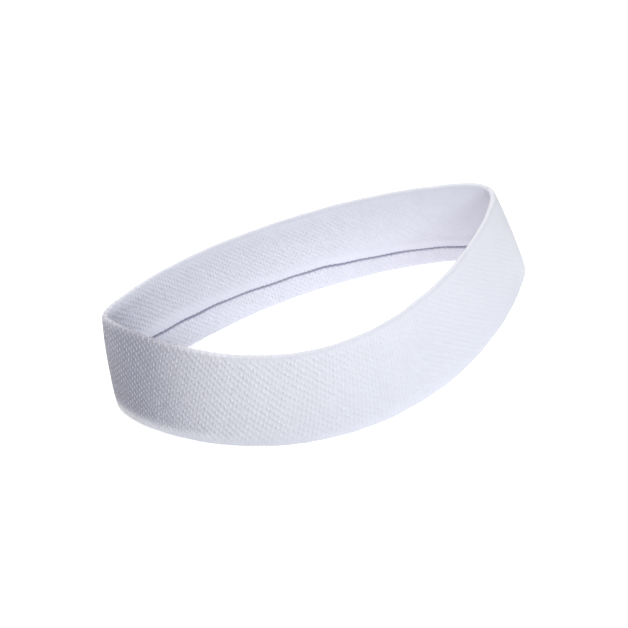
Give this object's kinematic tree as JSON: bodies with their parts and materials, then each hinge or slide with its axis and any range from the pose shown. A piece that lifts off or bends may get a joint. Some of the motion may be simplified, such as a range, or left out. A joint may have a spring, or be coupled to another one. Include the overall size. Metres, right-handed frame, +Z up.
{
  "type": "sports headband",
  "caption": "Soft white double-knit sweatband: a folded, overlocked fabric tube closed into an elastic loop that is worn round the forehead.",
  "frame": {"origin": "centre of the loop's bounding box in X and Y, at the height of the flat lower edge that it stands on", "axes": "+X from the left crease to the right crease, along the longest extent; +Y from the front wall to the back wall, whose inner face carries the seam in view; +Z up, across the band's width, from the lower edge to the upper edge"},
  "size_m": [0.2174, 0.1126, 0.056],
  "materials": {
    "knit": "matte white double knit with a raised diagonal cell pattern",
    "thread": "white textured polyester sewing thread"
  },
  "bodies": {
    "root": {"knit_strip": "knit", "long_seam_left_needle_thread": "thread", "long_seam_right_needle_thread": "thread", "long_seam_upper_looper_thread": "thread", "long_seam_lower_looper_thread": "thread", "end_seam_needle_thread": "thread", "end_seam_looper_thread": "thread", "gap_closing_thread": "thread"}
  },
  "joints": []
}
